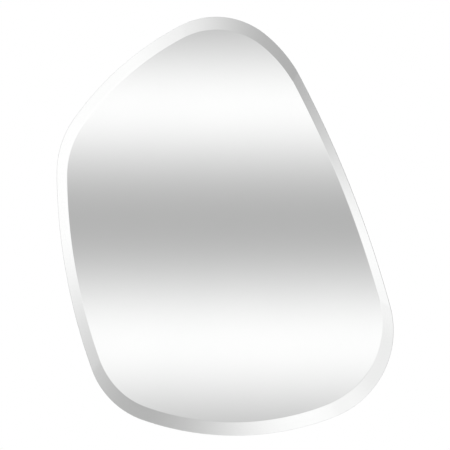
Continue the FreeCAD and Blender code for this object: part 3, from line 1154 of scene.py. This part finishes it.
@dataclass(frozen=True)
class SoftLamp:
    """A large square lamp that faces the mirror and isn't reflected in it."""

    name: str
    place: tuple[float, float, float]
    width: float = 2.0
    power: float = 32.0

    def hang(self) -> None:
        """Hangs the lamp."""
        data = bpy.data.lights.new(self.name, "AREA")
        data.size = self.width
        data.energy = self.power
        made = bpy.data.objects.new(self.name, data)
        made.location = self.place
        made.rotation_euler = (-Vector(self.place)).to_track_quat("-Z", "Y").to_euler()
        made.visible_glossy = False
        made.visible_transmission = False
        bpy.context.scene.collection.objects.link(made)


@dataclass
class Floor:
    """A pale round floor well below the mirror, which fades out towards its rim."""

    height: float = -0.60
    radius: float = 1.5
    faces: int = 96
    fade_start: float = 0.65
    dark: Colour = (0.90, 0.90, 0.90, 1.0)
    pale: Colour = (0.93, 0.93, 0.93, 1.0)
    drift_scale: float = 1.5
    roughness: float = 0.9

    def build(self) -> None:
        """Lays the floor."""
        bm = bmesh.new()
        bmesh.ops.create_circle(bm, cap_ends=True, segments=self.faces, radius=self.radius)
        bmesh.ops.translate(bm, verts=bm.verts, vec=UPWARD * self.height)
        mesh = bpy.data.meshes.new("floor")
        bm.to_mesh(mesh)
        bm.free()
        mesh.materials.append(self.finish())
        made = bpy.data.objects.new("floor", mesh)
        bpy.context.scene.collection.objects.link(made)

    def finish(self) -> Material:
        """Makes the floor matt and pale, and clear towards its rim and from below.

        Returns:
            The material.
        """
        work = Dressing("pale_floor")
        tree = work.tree
        drift = work.lay(grain_group(), Broad_Scale=self.drift_scale)["Broad"]
        work.feed(Base_Color=tree.mix(drift, self.dark, self.pale), Roughness=self.roughness)
        length = tree.add("ShaderNodeVectorMath", operation="LENGTH")
        tree.feed(length.inputs[0], work.place)
        fade = tree.ease(length.outputs["Value"], self.radius * self.fade_start, self.radius)
        below = tree.add("ShaderNodeNewGeometry").outputs["Backfacing"]
        blend = tree.add("ShaderNodeMixShader")
        for socket, term in zip(blend.inputs, (
            tree.calc("MAXIMUM", fade, below), work.shader.outputs[0],
            tree.add("ShaderNodeBsdfTransparent").outputs[0],
        )):
            tree.feed(socket, term)
        material = bpy.data.materials["pale_floor"]
        tree.feed(material.node_tree.nodes["Material Output"].inputs["Surface"], blend.outputs[0])
        return material


@dataclass
class Studio:
    """Camera, floor, lamps and surroundings of a straight-on product shot."""

    frame_width: float = 0.8053
    pane_front: float = -0.0207
    aim_x: float = -0.0003
    aim_z: float = 0.0022
    lens: float = 800.0
    film: float = 36.0
    far_clip: float = 200.0
    wave_trough: float = 0.0104
    wave_rise: float = 0.2055
    wave_fall: float = 0.2231
    wave_middle: float = 0.8585
    wave_swing: float = 0.1475
    face_cone: tuple[float, float] = (0.035, 0.060)
    ring_shade: float = 1.020
    ring_cone: tuple[float, float] = (0.240, 0.360)
    ring_stretch: float = 0.6
    ring_side: tuple[float, float] = (-0.2, 0.0)
    rim_side: tuple[float, float] = (-0.5, -0.1)
    sky_heights: tuple[float, float] = (-0.75, 0.65)
    sky_shades: tuple[float, float] = (0.58, 0.96)
    flat_count: float = 4.0
    flat_swing: float = 0.07
    soft_light: float = 0.82
    cards: tuple[GreyCard, ...] = (
        GreyCard((6.4, 19.0), (70.9, 108.4), 0.192),
        GreyCard((0.0, 70.4), (71.1, 98.1), 0.141),
        GreyCard((100.5, 117.6), (197.1, 200.4), 0.045),
        GreyCard((124.7, 148.5), (171.4, 197.6), 0.037),
        GreyCard((200.4, 205.5), (205.5, 311.6), 0.261),
        GreyCard((199.9, 207.4), (295.7, 312.3), 0.062),
    )
    lamps: tuple[SoftLamp, ...] = (
        SoftLamp("soft_left", (-2.2, -2.6, 2.4)), SoftLamp("soft_rear", (2.0, 2.6, 2.2)),
    )

    def distance(self) -> float:
        """Distance of the camera from the pane's front."""
        return self.frame_width * self.lens / self.film

    def camera(self) -> None:
        """Sets the camera straight in front of the mirror."""
        data = bpy.data.cameras.new("straight_on")
        data.lens = self.lens
        data.sensor_width = self.film
        data.clip_end = self.far_clip
        made = bpy.data.objects.new("straight_on", data)
        made.location = (self.aim_x, self.pane_front - self.distance(), self.aim_z)
        made.rotation_euler = (QUARTER_TURN, 0.0, 0.0)
        bpy.context.scene.collection.objects.link(made)
        bpy.context.scene.camera = made

    def surroundings(self) -> None:
        """Builds the world: white to the camera and through the glass rim, soft light to matt
        pieces, and a plain grey-and-white studio to mirror, glass and metal.
        """
        world = bpy.data.worlds.new("studio")
        world.use_nodes = True
        bpy.context.scene.world = world
        tree = Tree(world.node_tree)
        background = world.node_tree.nodes["Background"]
        way = tree.add("ShaderNodeSeparateXYZ")
        tree.feed(way.inputs[0], tree.add("ShaderNodeTexCoord").outputs["Generated"])
        x, y, z = way.outputs
        squares = [tree.calc("MULTIPLY", part, part) for part in (x, z)]
        off_axis = tree.calc("SQRT", tree.calc("ADD", *squares))
        stretched = tree.calc("MULTIPLY_ADD", tree.calc("MAXIMUM", x, 0.0), -self.ring_stretch, off_axis)
        ahead = tree.ease(y, *self.ring_side, 1.0, 0.0)
        in_ring = tree.calc("MULTIPLY", tree.ease(stretched, *self.ring_cone, 1.0, 0.0), ahead)
        in_cone = tree.calc("MULTIPLY", tree.ease(off_axis, *self.face_cone, 1.0, 0.0), ahead)
        shade = tree.pick(in_ring, self.room(tree, x, y, z), self.ring(tree, x, z))
        shade = tree.pick(in_cone, shade, self.wave(tree, z))
        light = tree.calc("POWER", shade, DISPLAY_GAMMA)
        rays = tree.add("ShaderNodeLightPath").outputs
        through_rim = tree.calc("MULTIPLY", tree.ease(y, *self.rim_side), rays["Is Transmission Ray"])
        light = tree.pick(through_rim, light, 1.0)
        shiny = tree.calc("MAXIMUM", rays["Is Glossy Ray"], rays["Is Transmission Ray"])
        light = tree.pick(shiny, self.soft_light, light)
        tree.feed(background.inputs["Color"], tree.pick(rays["Is Camera Ray"], light, 1.0))
        background.inputs["Strength"].default_value = 1.0

    def wave(self, tree: Tree, z: Term) -> NodeSocket:
        """Shades the space right behind the camera, which the flat of the mirror reflects.

        Args:
            tree: The world's tree.
            z: Height of the direction.

        Returns:
            The shade, a slow wave of light and grey from top to bottom.
        """
        height = tree.calc("MULTIPLY_ADD", z, self.distance(), -self.wave_trough)
        rise = tree.calc("DIVIDE", tree.calc("MAXIMUM", height, 0.0), self.wave_rise / HALF_TURN)
        fall = tree.calc("DIVIDE", tree.calc("MINIMUM", height, 0.0), self.wave_fall / HALF_TURN)
        swell = tree.calc("COSINE", tree.calc("ADD", rise, fall))
        return tree.calc("MULTIPLY_ADD", swell, -self.wave_swing, self.wave_middle)

    def ring(self, tree: Tree, x: Term, z: Term) -> NodeSocket:
        """Shades the ring round the camera, which the bevel reflects, with its grey cards.

        Args:
            tree: The world's tree.
            x: Sideways part of the direction.
            z: Its height.

        Returns:
            The shade.
        """
        bearing = tree.calc("DEGREES", tree.calc("WRAP", tree.calc("ARCTAN2", z, x), FULL_TURN, 0.0))
        shade: Term = self.ring_shade
        for card in self.cards:
            window = tree.calc(
                "MULTIPLY", tree.ease(bearing, *card.fade_in), tree.ease(bearing, *card.fade_out, 1.0, 0.0)
            )
            shade = tree.calc("MULTIPLY_ADD", window, -card.depth, shade)
        return shade

    def room(self, tree: Tree, x: Term, y: Term, z: Term) -> NodeSocket:
        """Shades the rest of the studio: bright above, greyer below, with broad soft flats around.

        Args:
            tree: The world's tree.
            x: Sideways part of the direction.
            y: Its depth.
            z: Its height.

        Returns:
            The shade.
        """
        sky = tree.ease(z, *self.sky_heights, *self.sky_shades)
        around = tree.calc("COSINE", tree.calc("MULTIPLY", tree.calc("ARCTAN2", x, y), self.flat_count))
        flats = tree.calc("MULTIPLY", around, tree.calc("SUBTRACT", 1.0, tree.calc("ABSOLUTE", z)))
        return tree.calc("MULTIPLY_ADD", flats, self.flat_swing, sky)

    def build(self) -> None:
        """Builds camera, floor, lamps and world."""
        self.camera()
        Floor().build()
        for lamp in self.lamps:
            lamp.hang()
        self.surroundings()
        bpy.context.scene.view_settings.view_transform = "Standard"


# ---- the whole
def find_hangers(joints: Iterable[dict]) -> list[Hanger]:
    """Finds the hangers from the joints of their rings.

    Args:
        joints: The record's joints.

    Returns:
        One hanger for each joint.
    """
    hangers = []
    for joint in joints:
        x, _, z = joint["axis"]
        pointing = Pointing.UP if abs(x) > abs(z) else Pointing.LEFT
        hangers.append(Hanger(joint["child"].removeprefix("ring_"), Vector(joint["pos_m"]), pointing))
    return hangers


def main() -> None:
    """Loads the frame and builds every sub-assembly in order."""
    logging.basicConfig(level=logging.INFO, format="%(name)s: %(message)s")
    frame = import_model()
    nodes = frame["nodes"]
    outline = PaneOutline()
    Studio().build()
    Pane(outline).build()
    Backing(outline).build(nodes)
    Bumpers().build(name for name in nodes if name.startswith("bumper_"))
    hangers = find_hangers(frame["joints"])
    for hanger in hangers:
        hanger.strap(nodes)
        hanger.ring()
    Screws().build(hangers)


if __name__ == "__main__":
    main()
